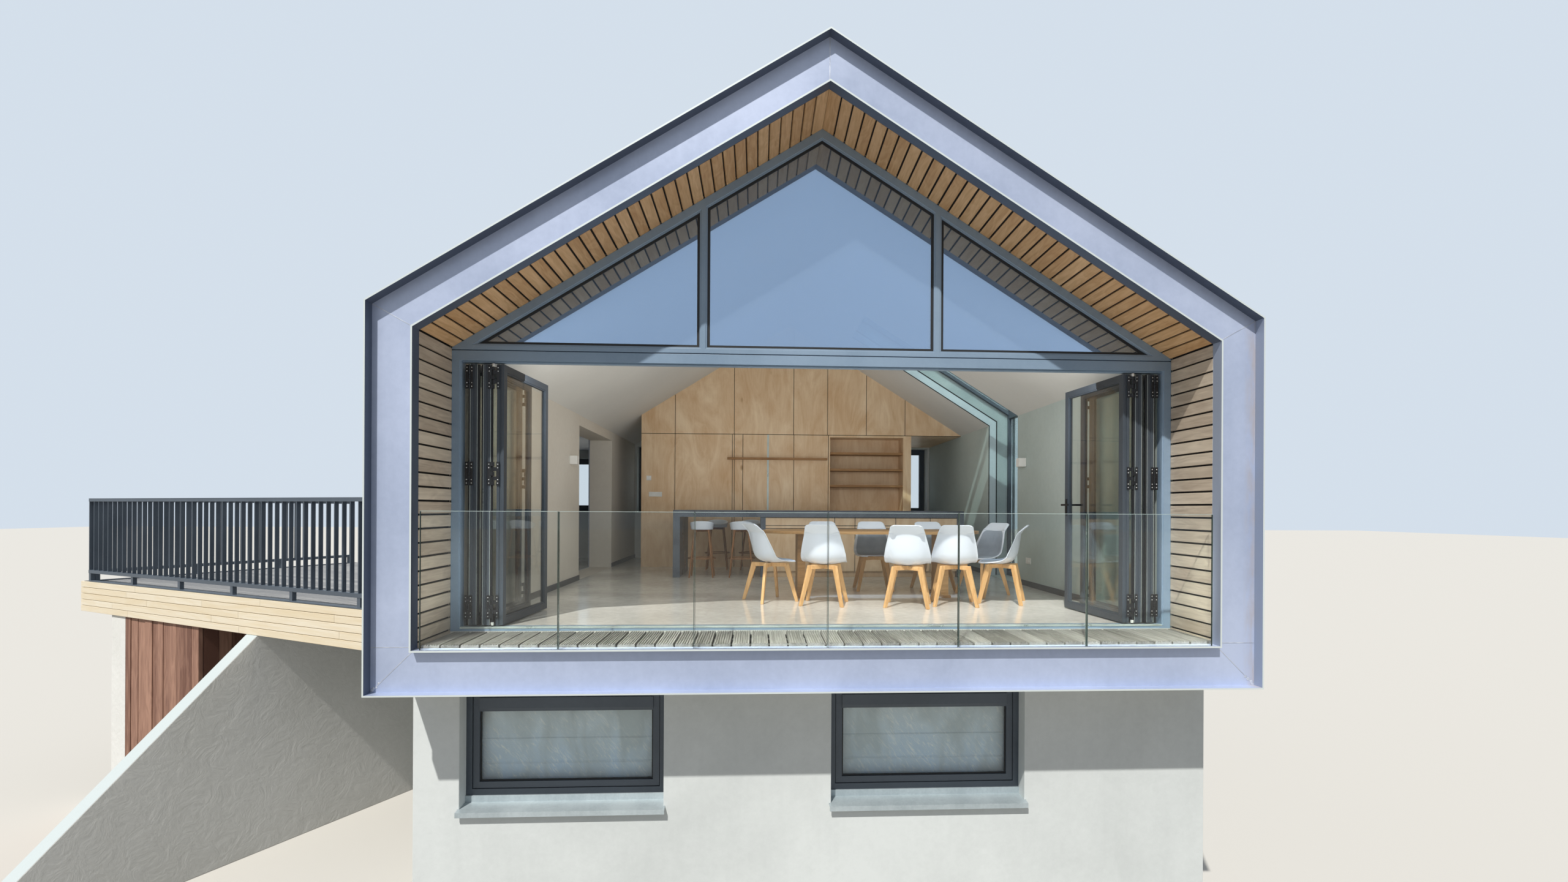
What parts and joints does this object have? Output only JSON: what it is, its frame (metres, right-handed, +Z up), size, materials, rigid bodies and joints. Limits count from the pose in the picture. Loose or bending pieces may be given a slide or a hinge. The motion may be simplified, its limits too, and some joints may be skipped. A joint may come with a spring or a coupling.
{
  "type": "beach house",
  "caption": "Gabled house tube with a zinc-framed glazed front and loggia, on a plastered base storey, with a side bay and a raised timber terrace.",
  "frame": {"origin": "middle of the house's footprint, under the ridge, on the ground", "axes": "+X across the gable to the right seen from the front, +Y into the house, +Z up"},
  "size_m": [13.0059, 9.3, 7.445],
  "materials": {
    "plaster": "mineral plaster, matt",
    "plaster_grey": "rough mineral plaster, matt",
    "concrete": "polished concrete",
    "indoor_paint": "matt wall paint on board",
    "zinc": "pre-weathered zinc sheet",
    "zinc_front": "pre-weathered zinc sheet, soldered at the mitres",
    "frame_grey": "powder-coated, satin",
    "sill_grey": "satin",
    "hardware": "satin black",
    "glass": "clear insulating glass",
    "blind": "folded blind, woven",
    "timber": "oiled boards",
    "deck_ribbed": "ribbed, silvered boards",
    "plywood": "birch plywood, matt lacquer",
    "shelf_wood": "oiled",
    "island": "dark laminate with a stone top",
    "lamp": "matt white",
    "table_wood": "oiled oak",
    "chair_shell": "moulded, satin",
    "chair_wood": "lacquered beech",
    "stool_wood": "oiled oak",
    "terrace_board": "silvered boards",
    "pine": "planed pine, untreated",
    "railing": "powder-coated, satin",
    "plank": "rough hardwood planks"
  },
  "bodies": {
    "root": {"base_front_wall": "plaster", "base_back_wall": "plaster", "base_side_walls": "plaster", "base_floor": "concrete", "window_frames": "frame_grey", "window_glass": "glass", "window_sills": "sill_grey", "base_blinds": "blind", "tube_floor": "concrete", "side_walls": "indoor_paint", "roof_left": "indoor_paint", "roof_right": "indoor_paint", "back_gable_wall": "plaster", "zinc_walls": "zinc", "zinc_roof": "zinc", "frame_left_post": "zinc_front", "frame_right_post": "zinc_front", "frame_left_rake": "zinc_front", "frame_right_rake": "zinc_front", "frame_sill": "zinc_front", "back_frame": "zinc_front", "timber_lining": "timber", "balcony_deck": "deck_ribbed", "balcony_glass": "glass", "gable_frame": "frame_grey", "gable_glass": "glass", "door_frame": "frame_grey", "door_leaves_left": "frame_grey", "door_leaves_right": "frame_grey", "door_glass": "glass", "door_hardware": "hardware", "roof_window_frame": "frame_grey", "roof_window_glass": "glass", "bay_front_wall": "plaster", "bay_side_wall": "plaster", "bay_back_wall": "plaster", "bay_roof": "zinc", "bay_floor": "concrete", "plywood_wall": "plywood", "kitchen_shelves": "shelf_wood", "passage_ceiling": "plywood", "kitchen_island": "island", "island_cabinet": "plywood", "wall_lights": "lamp", "dining_table": "table_wood", "chair_shells": "chair_shell", "chair_legs": "chair_wood", "stool_shells": "chair_shell", "stool_legs": "stool_wood", "terrace_deck": "terrace_board", "terrace_fascia": "pine", "terrace_railing": "railing", "terrace_end_railing": "railing", "wing_wall": "plaster_grey", "plank_wall": "plank", "terrace_pier": "plaster_grey"}
  },
  "joints": []
}
